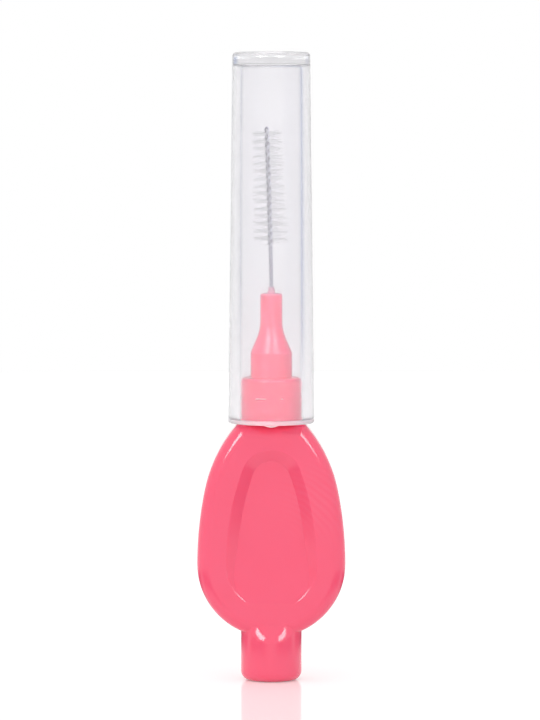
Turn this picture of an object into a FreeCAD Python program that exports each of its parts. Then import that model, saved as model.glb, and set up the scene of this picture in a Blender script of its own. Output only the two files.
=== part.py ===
"""Interdental brush with a push-on travel cap.

One moulded handle (tail stub, thumb pad, collar and tapered neck), one wire folded into a hairpin
and twisted round nylon filaments, and one clear cap that seats on the collar.

Frame: millimetres, +Z up along the brush, origin at the middle of the tail stub's flat end.
The pad's broad faces look along -Y and +Y.
"""

import FreeCAD, Part
import math
import os

import Sketcher
from FreeCAD import Vector

# Driving dimensions in millimetres, with angles in degrees and shares as plain ratios
SIZES = {
    # Seats that the cap fits, at the collar and at the tail stub
    "seat_diameter": 7.9,
    "stub_length": 6.55,
    "stub_seat_end": 5.2,
    "stub_flare": 0.05,
    "foot_radius": 1.2,
    # Thumb pad
    "pad_width": 19.3,
    "pad_edge_radius": 1.7,
    "face_drop": 0.85,
    "flank_length": 18.25,
    "flank_angle": 12.0,
    "shoulder_width": 8.7,
    "shoulder_radius": 18.64,
    # Ramp between the pad's face and the front of the stub
    "ramp_radius": 4.8,
    "ramp_rise": 1.85,
    "ramp_sink": 0.1,
    "ramp_lip_radius": 1.6,
    # Thumb dish in both faces
    "dish_margin": 3.75,
    "dish_top_margin": 3.3,
    "dish_depth": 1.0,
    "dish_wall_run": 1.5,
    "dish_crown_share": 0.68,
    "dish_floor_rise": 3.9,
    "dish_toe_radius": 30.0,
    "dish_toe_angle": 11.0,
    "dish_brow_radius": 30.0,
    "dish_brow_angle": 2.0,
    "dish_lip_radius": 0.3,
    # Collar and neck
    "collar_sink": 0.1,
    "collar_length": 6.0,
    "collar_edge_radius": 0.5,
    "neck_diameter": 5.4,
    "neck_length": 3.2,
    "neck_edge_radius": 0.4,
    "cone_length": 2.9,
    "cone_blend_radius": 5.5,
    "nozzle_diameter": 2.86,
    "nozzle_length": 4.8,
    "nozzle_edge_radius": 0.35,
    "pip_height": 0.8,
    "pip_top_wall": 0.06,
    "pip_base_wall": 0.2,
    # Twisted wire
    "wire_diameter": 0.26,
    "strand_gap": 0.03,
    "strand_clearance": 0.03,
    "stem_lay_share": 0.88,
    "lay_blend_length": 1.6,
    "anchor_depth": 3.2,
    "bore_clearance": 0.03,
    "bare_length": 6.4,
    "tip_length": 0.35,
    "tip_loop_radius": 0.17,
    "tip_lean": 0.6,
    # Nylon filaments
    "bristle_length": 14.6,
    "head_turns": 7.5,
    "filament_diameter": 0.08,
    "filament_gap": 0.018,
    "reach_base": 2.4,
    "reach_tip": 2.05,
    # Cap
    "seat_gap": 0.05,
    "fit_clearance": 0.04,
    "mouth_clearance": 0.15,
    "mouth_depth": 3.4,
    "cap_rim_wall": 1.5,
    "cap_rim_radius": 0.3,
    "cap_end_diameter": 10.1,
    "cap_end_radius": 0.5,
    "cap_end_wall": 1.55,
    "cap_bore_taper": 0.12,
    "cap_ceiling_radius": 0.4,
    "tip_room": 8.2,
    "gate_diameter": 3.9,
    "gate_depth": 0.3,
    "nub_width": 1.9,
    "nub_drop": 0.25,
    "nub_inset": 0.25,
    # Reach of a cut past the solid that it cuts
    "overrun": 0.5,
}

# Radii and heights that follow from the driving dimensions
LEVELS = {
    "seat_radius": "Sizes.seat_diameter / 2",
    "half_width": "Sizes.pad_width / 2",
    "half_thickness": "Levels.seat_radius - Sizes.face_drop",
    "pad_centre": "Sizes.stub_length + sqrt(Levels.half_width ^ 2 - Levels.seat_radius ^ 2)",
    "ramp_top": "Sizes.stub_length + Sizes.ramp_rise",
    "stub_root": "Levels.ramp_top + Sizes.overrun",
    "stub_root_radius": "Levels.seat_radius + Sizes.stub_flare",
    "shoulder": "Levels.pad_centre + Sizes.flank_length",
    "neck_root": "Levels.shoulder - Sizes.collar_sink",
    "collar_top": "Levels.shoulder + Sizes.collar_length",
    "neck_top": "Levels.collar_top + Sizes.neck_length",
    "cone_top": "Levels.neck_top + Sizes.cone_length",
    "nozzle_top": "Levels.cone_top + Sizes.nozzle_length",
    "pip_top": "Levels.nozzle_top + Sizes.pip_height",
    "dish_half_width": "Levels.half_width - Sizes.dish_margin",
    "dish_crown_radius": "Levels.dish_half_width * Sizes.dish_crown_share",
    "dish_crown": "Levels.shoulder - Sizes.dish_top_margin - Levels.dish_crown_radius",
    "dish_floor": "Levels.half_thickness - Sizes.dish_depth",
    "dish_floor_end": "Levels.pad_centre + Sizes.dish_floor_rise",
    "stem_radius": "(Sizes.wire_diameter + Sizes.strand_gap) / 2",
    "head_radius": "(Sizes.wire_diameter + Sizes.filament_diameter) / 2 + Sizes.strand_clearance",
    "wire_foot": "Levels.nozzle_top - Sizes.anchor_depth",
    "bore_radius": "Levels.stem_radius + Sizes.wire_diameter / 2 + Sizes.bore_clearance",
    "bore_floor": "Levels.wire_foot - Sizes.bore_clearance",
    "bristle_base": "Levels.nozzle_top + Sizes.bare_length",
    "bristle_top": "Levels.bristle_base + Sizes.bristle_length",
    "wire_tip": "Levels.bristle_top + Sizes.tip_length",
    "cap_rim": "Levels.shoulder + Sizes.seat_gap",
    "cap_step": "Levels.cap_rim + Sizes.mouth_depth",
    "cap_bore_radius": "Levels.seat_radius + Sizes.fit_clearance",
    "cap_mouth_radius": "Levels.seat_radius + Sizes.mouth_clearance",
    "cap_rim_outer": "Levels.cap_mouth_radius + Sizes.cap_rim_wall",
    "cap_ceiling": "Levels.wire_tip + Sizes.tip_loop_radius + Sizes.tip_room",
    "cap_top": "Levels.cap_ceiling + Sizes.cap_end_wall",
    "cap_bore_end": "Levels.cap_bore_radius - Sizes.cap_bore_taper",
}

# Numbers that a sketch gives to its axes and to the points of a line or arc
LEVEL_AXIS, UPRIGHT_AXIS = range(-1, -3, -1)
START, END, CENTRE = range(1, 4)

doc = FreeCAD.newDocument("interdental_brush")


def fill_sheet(name, rows):
    """Writes one named cell per row."""
    sheet = doc.addObject("Spreadsheet::Sheet", name)
    for number, (alias, content) in enumerate(rows.items(), start=1):
        sheet.set(f"A{number}", alias)
        sheet.set(f"B{number}", content)
        sheet.setAlias(f"B{number}", alias)
    return sheet


sizes = fill_sheet("Sizes", {alias: str(number) for alias, number in SIZES.items()})
doc.recompute()
levels = fill_sheet("Levels", {alias: "=" + rule.replace("Levels.", "") for alias, rule in LEVELS.items()})
doc.recompute()


def value(expression):
    """Number that an expression has now, where a sketch starts from."""
    return float(sizes.evalExpression(expression))


# Sketching helpers
def origin_plane(body, role):
    """One of the body's own origin planes."""
    return next(feature for feature in body.Origin.OriginFeatures if feature.Role == role)


def new_sketch(body, name, role, offset=None):
    """Empty sketch on an origin plane, or set off from it along the plane's normal."""
    sketch = body.newObject("Sketcher::SketchObject", name)
    sketch.AttachmentSupport = (origin_plane(body, role), [""])
    sketch.MapMode = "FlatFace"
    if offset:
        sketch.setExpression("AttachmentOffset.Base.z", offset)
    return sketch


def bind(sketch, constraint, expression):
    """Adds a dimension and ties it to the sheets."""
    number = sketch.addConstraint(constraint)
    sketch.setExpression(f"Constraints[{number}]", expression)


def place(sketch, geometry, end, across, up):
    """Fixes one point of the sketch by two expressions, where "0" puts it on the axis."""
    for kind, expression, axis in (("DistanceX", across, UPRIGHT_AXIS), ("DistanceY", up, LEVEL_AXIS)):
        if expression == "0":
            sketch.addConstraint(Sketcher.Constraint("PointOnObject", geometry, end, axis))
        else:
            bind(sketch, Sketcher.Constraint(kind, geometry, end, value(expression)), expression)


def arc(centre, radius, first, last):
    """Arc that runs anticlockwise between two angles in radians."""
    return Part.ArcOfCircle(Part.Circle(centre, Vector(0, 0, 1), radius), first, last)


def heading(vector):
    """Angle of a flat vector in radians."""
    return math.atan2(vector.y, vector.x)


def draw_outline(sketch, corners):
    """Closed outline of straight lines through (across, up) or (across, up, rounding) corners."""
    points = [Vector(value(corner[0]), value(corner[1]), 0) for corner in corners]
    count = len(points)
    arrive, leave, rounds = list(points), list(points), {}
    for i, corner in enumerate(corners):
        if len(corner) < 3:
            continue
        radius = value(corner[2])
        back = (points[i - 1] - points[i]).normalize()
        ahead = (points[(i + 1) % count] - points[i]).normalize()
        half_angle = back.getAngle(ahead) / 2
        arrive[i] = points[i] + back * (radius / math.tan(half_angle))
        leave[i] = points[i] + ahead * (radius / math.tan(half_angle))
        centre = points[i] + (back + ahead).normalize() * (radius / math.sin(half_angle))
        left_turn = back.cross(ahead).z < 0
        ends = (arrive[i], leave[i]) if left_turn else (leave[i], arrive[i])
        rounds[i] = (arc(centre, radius, *(heading(end - centre) for end in ends)), left_turn)
    lines = [
        sketch.addGeometry(Part.LineSegment(leave[i], arrive[(i + 1) % count])) for i in range(count)
    ]
    for i, corner in enumerate(corners):
        before, after = lines[i - 1], lines[i]
        if i not in rounds:
            sketch.addConstraint(Sketcher.Constraint("Coincident", before, END, after, START))
            place(sketch, after, START, corner[0], corner[1])
            continue
        shape, left_turn = rounds[i]
        bend = sketch.addGeometry(shape)
        first, last = (START, END) if left_turn else (END, START)
        apex = sketch.addGeometry(Part.Point(points[i]), True)
        sketch.addConstraint(Sketcher.Constraint("Tangent", before, END, bend, first))
        sketch.addConstraint(Sketcher.Constraint("Tangent", bend, last, after, START))
        sketch.addConstraint(Sketcher.Constraint("PointOnObject", apex, START, before))
        sketch.addConstraint(Sketcher.Constraint("PointOnObject", apex, START, after))
        place(sketch, apex, START, corner[0], corner[1])
        bind(sketch, Sketcher.Constraint("Radius", bend, value(corner[2])), corner[2])


def revolved_body(name, corners):
    """Body turned about Z from an outline in the XZ plane."""
    body = doc.addObject("PartDesign::Body", name)
    sketch = new_sketch(body, name + "_profile", "XZ_Plane")
    draw_outline(sketch, corners)
    turned = body.newObject("PartDesign::Revolution", name + "_turned")
    turned.Profile = sketch
    turned.ReferenceAxis = (sketch, ["V_Axis"])
    sketch.Visibility = False
    doc.recompute()
    return body


def edges_where(shape, test):
    """Names of the edges whose bounding box passes a test."""
    return [f"Edge{i}" for i, edge in enumerate(shape.Edges, start=1) if test(edge.BoundBox)]


# Handle
def draw_pad_outline(sketch):
    """Egg outline: a round lower end, two tangent arcs up each side and a flat shoulder."""
    half_width, centre = value("Levels.half_width"), value("Levels.pad_centre")
    inward, upward = value("Sizes.shoulder_width / 2") - half_width, value("Sizes.flank_length")
    lean, crown_radius = math.radians(value("Sizes.flank_angle")), value("Sizes.shoulder_radius")
    # The turn and the lower radius with which the two arcs reach the shoulder's corner
    level = crown_radius * math.cos(lean) + math.tan(lean / 2) * (upward + crown_radius * math.sin(lean))
    turn = lean / 2 + math.acos((inward + level) * math.cos(lean / 2) / crown_radius)
    flank_radius = (upward - crown_radius * (math.sin(turn) - math.sin(lean))) / math.sin(lean)
    flank_centre = Vector(half_width - flank_radius, centre, 0)
    crown_centre = flank_centre + Vector(math.cos(lean), math.sin(lean), 0) * (flank_radius - crown_radius)
    bowl = sketch.addGeometry(arc(Vector(0, centre, 0), half_width, math.pi, 2 * math.pi))
    flank = sketch.addGeometry(arc(flank_centre, flank_radius, 0, lean))
    crown = sketch.addGeometry(arc(crown_centre, crown_radius, lean, turn))
    mirrored = [Vector(-point.x, point.y, 0) for point in (flank_centre, crown_centre)]
    far_flank = sketch.addGeometry(arc(mirrored[0], flank_radius, math.pi - lean, math.pi))
    far_crown = sketch.addGeometry(arc(mirrored[1], crown_radius, math.pi - turn, math.pi - lean))
    corner = crown_centre + Vector(math.cos(turn), math.sin(turn), 0) * crown_radius
    top = sketch.addGeometry(Part.LineSegment(corner, Vector(-corner.x, corner.y, 0)))
    place(sketch, bowl, CENTRE, "0", "Levels.pad_centre")
    bind(sketch, Sketcher.Constraint("Radius", bowl, half_width), "Levels.half_width")
    for end in (START, END):
        sketch.addConstraint(Sketcher.Constraint("Horizontal", bowl, end, bowl, CENTRE))
    for first, first_end, second, second_end in (
        (bowl, END, flank, START),
        (flank, END, crown, START),
        (bowl, START, far_flank, END),
        (far_flank, START, far_crown, END),
    ):
        sketch.addConstraint(Sketcher.Constraint("Tangent", first, first_end, second, second_end))
    bind(sketch, Sketcher.Constraint("Angle", flank, lean), "Sizes.flank_angle * 1 deg")
    bind(sketch, Sketcher.Constraint("Radius", crown, crown_radius), "Sizes.shoulder_radius")
    place(sketch, crown, END, "Sizes.shoulder_width / 2", "Levels.shoulder")
    for near_end, far_end in ((START, END), (END, START)):
        pair = Sketcher.Constraint("Symmetric", crown, near_end, far_crown, far_end, UPRIGHT_AXIS)
        sketch.addConstraint(pair)
    sketch.addConstraint(Sketcher.Constraint("Coincident", crown, END, top, START))
    sketch.addConstraint(Sketcher.Constraint("Coincident", top, END, far_crown, START))


def make_pad():
    """Egg-shaped slab with rounded edges on both faces."""
    body = doc.addObject("PartDesign::Body", "pad")
    sketch = new_sketch(body, "pad_outline", "XZ_Plane")
    draw_pad_outline(sketch)
    slab = body.newObject("PartDesign::Pad", "pad_slab")
    slab.Profile = sketch
    slab.Midplane = True
    slab.setExpression("Length", "2 * Levels.half_thickness")
    doc.recompute()
    rims = edges_where(slab.Shape, lambda box: box.YLength < value("Levels.half_thickness"))
    rounded = body.newObject("PartDesign::Fillet", "pad_edges")
    rounded.Base = (slab, rims)
    rounded.setExpression("Radius", "Sizes.pad_edge_radius")
    doc.recompute()
    return body


def make_stub():
    """Tail stub: a round seat that flares a little to its root, with a ramp to each face of the pad."""
    body = revolved_body("stub", [
        ("0", "0"),
        ("Levels.seat_radius", "0", "Sizes.foot_radius"),
        ("Levels.seat_radius", "Sizes.stub_seat_end"),
        ("Levels.stub_root_radius", "Levels.stub_root"),
        ("0", "Levels.stub_root"),
    ])
    sketch = new_sketch(body, "ramp_profile", "YZ_Plane")
    radius, top = value("Sizes.ramp_radius"), value("Levels.ramp_top")
    inner = value("Levels.half_thickness - Sizes.ramp_sink")
    outer = value("Levels.stub_root_radius + Sizes.overrun")
    roof = value("Levels.stub_root + Sizes.overrun")
    drop = math.sqrt(radius ** 2 - (inner + radius - outer) ** 2)
    for side, sign in ((-1, "-"), (1, "")):
        centre = Vector(side * (inner + radius), top, 0)
        crest, toe = Vector(side * inner, top, 0), Vector(side * outer, top - drop, 0)
        ends = (toe, crest) if sign else (crest, toe)
        ramp = sketch.addGeometry(arc(centre, radius, *(heading(end - centre) for end in ends)))
        at_toe, at_crest = (START, END) if sign else (END, START)
        roof_toe, roof_crest = Vector(toe.x, roof, 0), Vector(crest.x, roof, 0)
        wall = sketch.addGeometry(Part.LineSegment(toe, roof_toe))
        lid = sketch.addGeometry(Part.LineSegment(roof_toe, roof_crest))
        rise = sketch.addGeometry(Part.LineSegment(roof_crest, crest))
        sketch.addConstraint(Sketcher.Constraint("Coincident", ramp, at_toe, wall, START))
        sketch.addConstraint(Sketcher.Constraint("Coincident", wall, END, lid, START))
        sketch.addConstraint(Sketcher.Constraint("Coincident", lid, END, rise, START))
        sketch.addConstraint(Sketcher.Constraint("Tangent", rise, END, ramp, at_crest))
        sketch.addConstraint(Sketcher.Constraint("Vertical", wall))
        sketch.addConstraint(Sketcher.Constraint("Vertical", rise))
        bind(sketch, Sketcher.Constraint("Radius", ramp, radius), "Sizes.ramp_radius")
        place(sketch, ramp, at_crest, f"{sign}(Levels.half_thickness - Sizes.ramp_sink)", "Levels.ramp_top")
        outside = f"{sign}(Levels.stub_root_radius + Sizes.overrun)"
        place(sketch, lid, START, outside, "Levels.stub_root + Sizes.overrun")
        sketch.addConstraint(Sketcher.Constraint("Horizontal", lid))
    cut = body.newObject("PartDesign::Pocket", "ramp_cut")
    cut.Profile = sketch
    cut.Type = "ThroughAll"
    cut.Midplane = True
    doc.recompute()
    assert cut.Shape.Volume < cut.BaseFeature.Shape.Volume, "the ramps cut nothing"
    tiny = value("Sizes.ramp_sink / 2")

    def lip(box):
        """The edge where a ramp leaves the stub's round side, the only kind that runs all three ways."""
        return min(box.XLength, box.YLength, box.ZLength) > tiny

    rounded = body.newObject("PartDesign::Fillet", "ramp_lips")
    rounded.Base = (cut, edges_where(cut.Shape, lip))
    rounded.setExpression("Radius", "Sizes.ramp_lip_radius")
    doc.recompute()
    return body


def make_neck():
    """Collar, shoulder, cone and nozzle, with the bore that the wire is set in."""
    return revolved_body("neck", [
        ("0", "Levels.neck_root"),
        ("Levels.seat_radius", "Levels.neck_root"),
        ("Levels.seat_radius", "Levels.collar_top", "Sizes.collar_edge_radius"),
        ("Sizes.neck_diameter / 2", "Levels.collar_top"),
        ("Sizes.neck_diameter / 2", "Levels.neck_top", "Sizes.neck_edge_radius"),
        ("Sizes.nozzle_diameter / 2", "Levels.cone_top", "Sizes.cone_blend_radius"),
        ("Sizes.nozzle_diameter / 2", "Levels.nozzle_top", "Sizes.nozzle_edge_radius"),
        ("Levels.bore_radius + Sizes.pip_base_wall", "Levels.nozzle_top"),
        ("Levels.bore_radius + Sizes.pip_top_wall", "Levels.pip_top"),
        ("Levels.bore_radius", "Levels.pip_top"),
        ("Levels.bore_radius", "Levels.bore_floor"),
        ("0", "Levels.bore_floor"),
    ])


def draw_dish_outline(sketch, spread):
    """Egg of four tangent arcs, the dish's floor outline set out all round by a spread."""
    half_rule = f"Levels.dish_half_width - Sizes.dish_wall_run + {spread}"
    crown_rule = f"Levels.dish_crown_radius - Sizes.dish_wall_run + {spread}"
    half, crown = value(half_rule), value(crown_rule)
    low, high = Vector(0, value("Levels.pad_centre"), 0), Vector(0, value("Levels.dish_crown"), 0)
    flank = (half ** 2 + (high.y - low.y) ** 2 - crown ** 2) / (2 * (half - crown))
    centres = [Vector(side * (half - flank), low.y, 0) for side in (1, -1)]
    turn = heading(high - centres[0])
    bowl = sketch.addGeometry(arc(low, half, math.pi, 2 * math.pi))
    right = sketch.addGeometry(arc(centres[0], flank, 0, turn))
    peak = sketch.addGeometry(arc(high, crown, turn, math.pi - turn))
    left = sketch.addGeometry(arc(centres[1], flank, math.pi - turn, math.pi))
    for geometry, height, radius, rule in (
        (bowl, "Levels.pad_centre", half, half_rule),
        (peak, "Levels.dish_crown", crown, crown_rule),
    ):
        place(sketch, geometry, CENTRE, "0", height)
        bind(sketch, Sketcher.Constraint("Radius", geometry, radius), rule)
    for end in (START, END):
        sketch.addConstraint(Sketcher.Constraint("Horizontal", bowl, end, bowl, CENTRE))
    for first, second in ((bowl, right), (right, peak), (peak, left), (left, bowl)):
        sketch.addConstraint(Sketcher.Constraint("Tangent", first, END, second, START))


def make_dish():
    """Cutter for the front thumb dish: sloping walls, a rounded lip, and a floor that rises to the face."""
    body = doc.addObject("PartDesign::Body", "dish")
    floor = new_sketch(body, "dish_floor", "XZ_Plane", "Levels.dish_floor")
    draw_dish_outline(floor, "0")
    mouth = new_sketch(body, "dish_mouth", "XZ_Plane", "Levels.half_thickness")
    draw_dish_outline(mouth, "Sizes.dish_wall_run")
    walls = body.newObject("PartDesign::AdditiveLoft", "dish_walls")
    walls.Profile = floor
    walls.Sections = [mouth]
    walls.Ruled = True
    # A slab that lies on the pad's face, so that the lip can be rounded into it
    brim = new_sketch(body, "dish_brim", "XZ_Plane", "Levels.half_thickness")
    draw_dish_outline(brim, "Sizes.dish_wall_run + Sizes.overrun")
    slab = body.newObject("PartDesign::Pad", "dish_slab")
    slab.Profile = brim
    slab.setExpression("Length", "Sizes.overrun")
    doc.recompute()
    tiny = value("Sizes.ramp_sink / 2")
    face, reach = -value("Levels.half_thickness"), value("Levels.dish_half_width") + tiny

    def mouth_rim(box):
        """An edge where the walls meet the slab."""
        return max(abs(box.YMin - face), abs(box.YMax - face)) < tiny and max(-box.XMin, box.XMax) < reach

    lip = body.newObject("PartDesign::Fillet", "dish_lip")
    lip.Base = (slab, edges_where(slab.Shape, mouth_rim))
    lip.setExpression("Radius", "Sizes.dish_lip_radius")
    doc.recompute()
    sketch = new_sketch(body, "toe_profile", "YZ_Plane")
    draw_toe(sketch)
    toe_cut = body.newObject("PartDesign::Pocket", "toe_cut")
    toe_cut.Profile = sketch
    toe_cut.Type = "ThroughAll"
    toe_cut.Midplane = True
    doc.recompute()
    assert toe_cut.Shape.Volume < lip.Shape.Volume, "the toe cuts nothing"
    return body


def draw_toe(sketch):
    """What the toe leaves standing behind the front dish: up from its floor in an S to the pad's face."""
    floor, top = value("Levels.dish_floor"), value("Levels.dish_floor_end")
    inner = value("Levels.dish_floor - Sizes.overrun")
    outer = value("Levels.half_thickness + 2 * Sizes.overrun")
    toe_radius, brow_radius = value("Sizes.dish_toe_radius"), value("Sizes.dish_brow_radius")
    steep, flat = math.radians(value("Sizes.dish_toe_angle")), math.radians(value("Sizes.dish_brow_angle"))
    toe_centre = Vector(-floor - toe_radius, top, 0)
    steepest = Vector(math.cos(steep), -math.sin(steep), 0)
    brow_centre = toe_centre + steepest * (toe_radius + brow_radius)
    brow_end = brow_centre + Vector(-math.cos(flat), math.sin(flat), 0) * brow_radius
    low = brow_end.y - (outer + brow_end.x) / math.tan(flat)
    lip, foot, back = Vector(-outer, low, 0), Vector(-inner, low, 0), Vector(-inner, top, 0)
    toe = sketch.addGeometry(arc(toe_centre, toe_radius, -steep, 0))
    brow = sketch.addGeometry(arc(brow_centre, brow_radius, math.pi - steep, math.pi - flat))
    run = sketch.addGeometry(Part.LineSegment(brow_end, lip))
    base = sketch.addGeometry(Part.LineSegment(lip, foot))
    wall = sketch.addGeometry(Part.LineSegment(foot, back))
    lid = sketch.addGeometry(Part.LineSegment(back, Vector(-floor, top, 0)))
    sketch.addConstraint(Sketcher.Constraint("Perpendicular", lid, END, toe, END))
    sketch.addConstraint(Sketcher.Constraint("Tangent", toe, START, brow, START))
    sketch.addConstraint(Sketcher.Constraint("Tangent", brow, END, run, START))
    for first, second in ((run, base), (base, wall), (wall, lid)):
        sketch.addConstraint(Sketcher.Constraint("Coincident", first, END, second, START))
    for line in (base, lid):
        sketch.addConstraint(Sketcher.Constraint("Horizontal", line))
    sketch.addConstraint(Sketcher.Constraint("Vertical", wall))
    place(sketch, toe, END, "-Levels.dish_floor", "Levels.dish_floor_end")
    bind(sketch, Sketcher.Constraint("Radius", toe, toe_radius), "Sizes.dish_toe_radius")
    bind(sketch, Sketcher.Constraint("Radius", brow, brow_radius), "Sizes.dish_brow_radius")
    bind(sketch, Sketcher.Constraint("Angle", toe, steep), "Sizes.dish_toe_angle * 1 deg")
    turn_back = "(Sizes.dish_toe_angle - Sizes.dish_brow_angle) * 1 deg"
    bind(sketch, Sketcher.Constraint("Angle", brow, steep - flat), turn_back)
    for line, across, rule in (
        (base, -outer, "-(Levels.half_thickness + 2 * Sizes.overrun)"),
        (wall, -inner, "-(Levels.dish_floor - Sizes.overrun)"),
    ):
        bind(sketch, Sketcher.Constraint("DistanceX", line, START, across), rule)


def make_handle():
    """The whole pink moulding: pad, stub and neck joined, with a dish in both faces."""
    blank = doc.addObject("Part::MultiFuse", "blank")
    blank.Shapes = [make_pad(), make_stub(), make_neck()]
    blank.Refine = True
    front = make_dish()
    back = doc.addObject("Part::Mirroring", "back_dish")
    back.Source = front
    back.Normal = Vector(0, 1, 0)
    dishes = doc.addObject("Part::Compound", "dishes")
    dishes.Links = [front, back]
    handle = doc.addObject("Part::Cut", "handle")
    handle.Base = blank
    handle.Tool = dishes
    handle.Refine = True
    doc.recompute()
    return handle


# Twisted wire: how its lean grows, the stations and gap samples along it, and the sides of its section
LEAN_POWER = 1.3
STEPS_PER_TURN = 4
SAMPLES_PER_STEP = 12
SECTION_SIDES = 6


def straight_between(knots, height):
    """Value at a height on straight lines between (height, value) knots."""
    for (low, first), (high, last) in zip(knots, knots[1:]):
        if height <= high:
            break
    return first + (last - first) * (height - low) / (high - low)


class Twist:
    """Centre line, strand radius and turning of the twisted pair at any height."""

    def __init__(self):
        stem_pitch = value("Sizes.stem_lay_share * Levels.stem_radius") * 2 * math.pi
        head_rate = value("Sizes.head_turns / Sizes.bristle_length")
        self.foot, self.tip = value("Levels.wire_foot"), value("Levels.wire_tip")
        self.base, self.top = value("Levels.bristle_base"), value("Levels.bristle_top")
        self.mouth, self.lean = value("Levels.nozzle_top"), value("Sizes.tip_lean")
        stem_end = self.base - value("Sizes.lay_blend_length")
        self.rates = [
            (self.foot, 1 / stem_pitch),
            (stem_end, 1 / stem_pitch),
            (self.base, head_rate),
            (self.top, head_rate),
            (self.tip, 0),
        ]
        stem, head = value("Levels.stem_radius"), value("Levels.head_radius")
        self.radii = [
            (self.foot, stem), (stem_end, stem), (self.base, head), (self.top, head),
            (self.tip, value("Sizes.tip_loop_radius")),
        ]

    def turns(self, height):
        """Turns made between the wire's foot and a height."""
        total = 0
        for (low, first), (high, last) in zip(self.rates, self.rates[1:]):
            reach = min(height, high)
            if reach > low:
                total += (reach - low) * (first + straight_between([(low, first), (high, last)], reach)) / 2
        return total

    def height_of(self, turns):
        """Height at which a number of turns has been made."""
        low, high = self.foot, self.tip
        while high - low > (self.tip - self.foot) * 1e-9:
            middle = (low + high) / 2
            low, high = (middle, high) if self.turns(middle) < turns else (low, middle)
        return (low + high) / 2

    def centre(self, height):
        """Point of the centre line, which leans over as it leaves the nozzle, and its slope."""
        share = max(height - self.mouth, 0) / (self.tip - self.mouth)
        slope = -self.lean * LEAN_POWER * share ** (LEAN_POWER - 1) / (self.tip - self.mouth)
        return Vector(-self.lean * share ** LEAN_POWER, 0, height), Vector(slope, 0, 1)

    def outward(self, height):
        """Direction from the centre line to the first strand."""
        angle = 2 * math.pi * self.turns(height)
        return Vector(math.cos(angle), math.sin(angle), 0)

    def strand(self, height, side):
        """Point of a strand and its direction."""
        centre, along = self.centre(height)
        out = self.outward(height) * side
        radius = straight_between(self.radii, height)
        swirl = Vector(0, 0, 1).cross(out) * (2 * math.pi * straight_between(self.rates, height) * radius)
        return centre + out * radius, (along + swirl).normalize()


def arc_edge(start, direction, end):
    """Arc from a point, leaving along a direction, to an end point."""
    chord = end - start
    aside = direction - chord * (direction.dot(chord) / chord.dot(chord))
    half_turn = direction.getAngle(chord)
    rise = chord.Length / 2 * math.tan(half_turn / 2)
    return Part.Arc(start, start + chord * 0.5 + aside.normalize() * rise, end).toShape()


def two_arcs(start, start_way, end, end_way):
    """Two arcs that join two points smoothly with the given directions."""
    gap, ways = end - start, start_way + end_way
    bend = 2 * (1 - start_way.dot(end_way))
    reach = (math.sqrt(gap.dot(ways) ** 2 + bend * gap.dot(gap)) - gap.dot(ways)) / bend
    middle = (start + start_way * reach + end - end_way * reach) * 0.5
    first = arc_edge(start, start_way, middle)
    second = arc_edge(end, end_way * -1, middle)
    return [first, second]


def polygon_ring(centre, normal, radius, sides, up):
    """Closed ring of straight sides with its corners on a circle square to a direction."""
    level = normal.cross(up).normalize()
    plumb = level.cross(normal).normalize()
    angles = [2 * math.pi * i / sides for i in range(sides + 1)]
    return Part.makePolygon(
        [centre + level * (radius * math.cos(a)) + plumb * (radius * math.sin(a)) for a in angles]
    )


def make_wire(twist):
    """One wire: up the first strand, over the loop at the tip and down the second strand."""
    quarter_turns = math.ceil(twist.turns(twist.tip) * STEPS_PER_TURN)
    marks = [twist.turns(twist.tip) * i / quarter_turns for i in range(quarter_turns)]
    heights = [twist.height_of(mark) for mark in marks] + [twist.tip]
    heights[0] = twist.foot
    up = [twist.strand(height, 1) for height in heights]
    down = [(point, way * -1) for point, way in (twist.strand(height, -1) for height in reversed(heights))]
    crown = twist.centre(twist.tip)[0] + Vector(0, 0, straight_between(twist.radii, twist.tip))
    loop = [(crown, twist.outward(twist.tip) * -1)]
    stations = up + loop + down
    edges = [edge for near, far in zip(stations, stations[1:]) for edge in two_arcs(*near, *far)]
    path = Part.Wire(Part.__sortEdges__(edges))
    radius = value("Sizes.wire_diameter / 2")
    section = polygon_ring(*up[0], radius, SECTION_SIDES, Vector(1, 0, 0))
    tube = path.makePipeShell([section], True, False)
    tube = tube if tube.ShapeType == "Solid" else tube.Solids[0]
    area = Part.Face(section).Area
    print("wire length", round(path.Length, 2), "volume share", round(tube.Volume / (area * path.Length), 4))
    wire = doc.addObject("Part::Feature", "wire")
    wire.Shape = tube
    print("least gap between the strands", round(least_gap(twist, heights), 4))
    return wire


def least_gap(twist, heights):
    """Least gap between the two strands, measured on points of both."""
    near = [twist.strand(height, 1)[0] for height in heights[:-1]]
    fine = [
        low + (high - low) * i / SAMPLES_PER_STEP
        for low, high in zip(heights, heights[1:])
        for i in range(SAMPLES_PER_STEP)
    ]
    far = [twist.strand(height, -1)[0] for height in fine]
    return min(a.distanceToPoint(b) for a in near for b in far) - value("Sizes.wire_diameter")


# Nylon filaments
def make_bristles(twist):
    """Filaments held between the strands, one node for each turn of the twist."""
    radius = value("Sizes.filament_diameter / 2")
    count = int(value("Sizes.bristle_length / (Sizes.filament_diameter + Sizes.filament_gap)"))
    reaches = [(twist.base, value("Sizes.reach_base")), (twist.top, value("Sizes.reach_tip"))]
    groups = {}
    for i in range(count):
        height = twist.base + (twist.top - twist.base) * (i + 0.5) / count
        way = Vector(0, 0, 1).cross(twist.outward(height))
        reach = straight_between(reaches, height)
        root = twist.centre(height)[0] - way * reach
        outline = polygon_ring(root, way, radius, SECTION_SIDES, Vector(0, 0, 1))
        turn = int(twist.turns(height) - twist.turns(twist.base))
        groups.setdefault(turn, []).append(Part.Face(outline).extrude(way * (2 * reach)))
    nodes = []
    for turn, filaments in sorted(groups.items()):
        node = doc.addObject("Part::Feature", f"bristle_turn_{turn + 1}")
        node.Shape = Part.makeCompound(filaments)
        nodes.append(node)
    return nodes


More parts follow.
